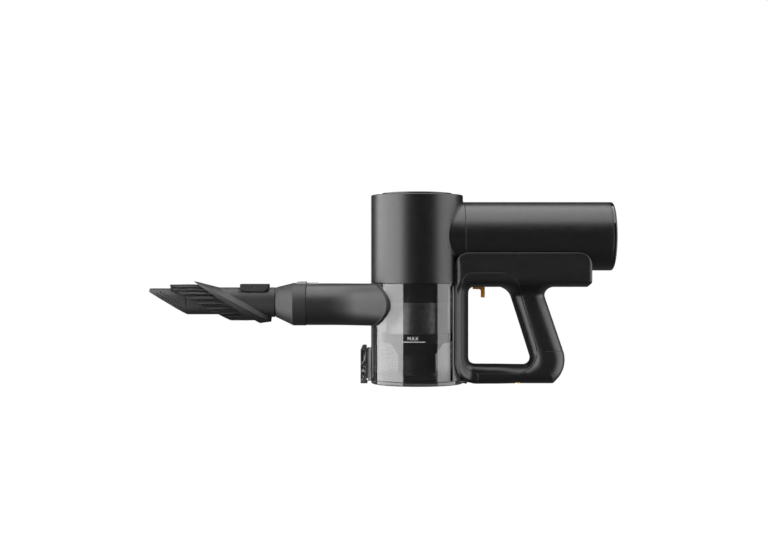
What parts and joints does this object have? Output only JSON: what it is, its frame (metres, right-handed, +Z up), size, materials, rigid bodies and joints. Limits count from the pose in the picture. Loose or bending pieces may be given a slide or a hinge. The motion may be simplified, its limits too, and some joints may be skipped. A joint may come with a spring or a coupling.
{
  "type": "handheld vacuum cleaner",
  "caption": "Handheld vacuum with a clear dust cup under a round housing, a motor barrel, a loop handle with a trigger, and a crevice tube that carries a sliding brush.",
  "frame": {"origin": "on the dust cup's axis, at the underside of the lid, level with the bottom of the handle", "axes": "+X towards the rear end of the barrel, -X along the nozzle, +Z up along the cup's axis"},
  "size_m": [0.554, 0.11, 0.228],
  "materials": {
    "housing_plastic": "matte, fine grain",
    "handle_plastic": "matte, soft sheen",
    "black_gloss": "gloss",
    "clear_cup": "clear, dark tinted, polished",
    "tool_plastic": "satin",
    "light_plastic": "satin",
    "mesh_metal": "fine perforated mesh",
    "orange_plastic": "satin",
    "bristle_fibre": "stiff nylon fibre",
    "seal_rubber": "matte",
    "filter_paper": "pleated",
    "foam": "open cell foam",
    "steel": "turned",
    "motor_alloy": "machined",
    "board_green": "solder mask",
    "cell_wrap": "film wrap",
    "brass": "plated"
  },
  "bodies": {
    "main_unit": {"upper_housing": "housing_plastic", "barrel_neck": "housing_plastic", "motor_barrel": "housing_plastic", "rear_ring": "black_gloss", "exhaust_grille": "tool_plastic", "display_panel": "black_gloss", "motor_housing": "motor_alloy", "motor_stator": "steel", "motor_bearings": "steel", "motor_mount_rings": "seal_rubber", "control_board": "board_green", "exhaust_foam": "foam", "handle_shell_left": "handle_plastic", "handle_shell_right": "handle_plastic", "handle_liner": "handle_plastic", "handle_base_cover": "handle_plastic", "handle_screws": "steel", "battery_cells": "cell_wrap", "battery_board": "board_green", "charging_contacts": "brass", "trigger_switch": "black_gloss", "trigger_spring": "steel", "vortex_finder_plate": "tool_plastic", "cyclone_cones": "tool_plastic", "cyclone_collar": "tool_plastic", "mesh_screen": "mesh_metal", "shroud_skirt": "tool_plastic", "dust_column": "tool_plastic"},
    "dust_cup": {"cup_shell": "clear_cup", "inlet_duct": "housing_plastic", "inlet_collar": "seal_rubber", "cup_rear_bracket": "black_gloss", "cup_seal": "seal_rubber", "lid_hinge_pin": "steel", "latch_mount": "light_plastic", "latch_pin": "steel", "latch_spring": "steel"},
    "cup_lid": {"lid_plate": "clear_cup", "lid_seal": "seal_rubber"},
    "lid_latch": {"latch_lever": "black_gloss"},
    "nozzle_tool": {"tool_collar": "tool_plastic", "tool_cone": "tool_plastic", "crevice_tube": "tool_plastic", "release_spring": "steel"},
    "tool_release": {"release_button": "light_plastic"},
    "brush_carriage": {"brush_sleeve": "tool_plastic", "brush_shroud": "tool_plastic", "bristles": "bristle_fibre", "rocker_pin": "steel"},
    "brush_lock": {"lock_rocker": "tool_plastic"},
    "filter_unit": {"filter_cap": "housing_plastic", "filter_frame": "tool_plastic", "filter_media": "filter_paper", "filter_seal": "seal_rubber"},
    "trigger": {"trigger": "orange_plastic"},
    "mode_button": {"mode_button": "black_gloss"},
    "motor_rotor": {"motor_shaft": "steel", "impeller": "motor_alloy", "rotor_magnet": "steel"}
  },
  "joints": [
    {"name": "cup_release", "type": "slide", "parent": "main_unit", "child": "dust_cup", "axis": [0, 0, -1], "range_m": [0, 0.125]},
    {"name": "lid_hinge", "type": "hinge", "parent": "dust_cup", "child": "cup_lid", "pos_m": [0.0575, 0, 0.0027], "axis": [0, -1, 0], "range_deg": [0, 95]},
    {"name": "latch_press", "type": "hinge", "parent": "dust_cup", "child": "lid_latch", "pos_m": [-0.0626, 0, 0.02], "axis": [0, 1, 0], "range_deg": [0, 6], "stiffness_Nm_per_rad": 0.5, "springref_deg": -5.73, "deforming": ["latch_spring"]},
    {"name": "tool_pull", "type": "slide", "parent": "dust_cup", "child": "nozzle_tool", "axis": [-1, 0, 0], "range_m": [0, 0.05]},
    {"name": "tool_release_press", "type": "slide", "parent": "nozzle_tool", "child": "tool_release", "axis": [0, 0, -1], "range_m": [0, 0.0012], "stiffness_N_per_m": 400, "springref_m": -0.002, "deforming": ["release_spring"]},
    {"name": "brush_slide", "type": "slide", "parent": "nozzle_tool", "child": "brush_carriage", "axis": [-1, 0, 0], "range_m": [0, 0.03]},
    {"name": "brush_lock_rock", "type": "hinge", "parent": "brush_carriage", "child": "brush_lock", "pos_m": [-0.1943, 0, 0.115], "axis": [0, 1, 0], "range_deg": [-3, 3]},
    {"name": "filter_lift", "type": "slide", "parent": "main_unit", "child": "filter_unit", "axis": [0, 0, 1], "range_m": [0, 0.07]},
    {"name": "trigger_pull", "type": "slide", "parent": "main_unit", "child": "trigger", "axis": [1, 0, 0], "range_m": [0, 0.0045], "stiffness_N_per_m": 600, "springref_m": -0.003, "deforming": ["trigger_spring"]},
    {"name": "mode_press", "type": "slide", "parent": "main_unit", "child": "mode_button", "axis": [-1, 0, 0], "range_m": [0, 0.0008], "stiffness_N_per_m": 800, "springref_m": -0.001},
    {"name": "motor_spin", "type": "hinge", "parent": "main_unit", "child": "motor_rotor", "pos_m": [0.12, 0, 0.176], "axis": [1, 0, 0], "continuous": true}
  ]
}
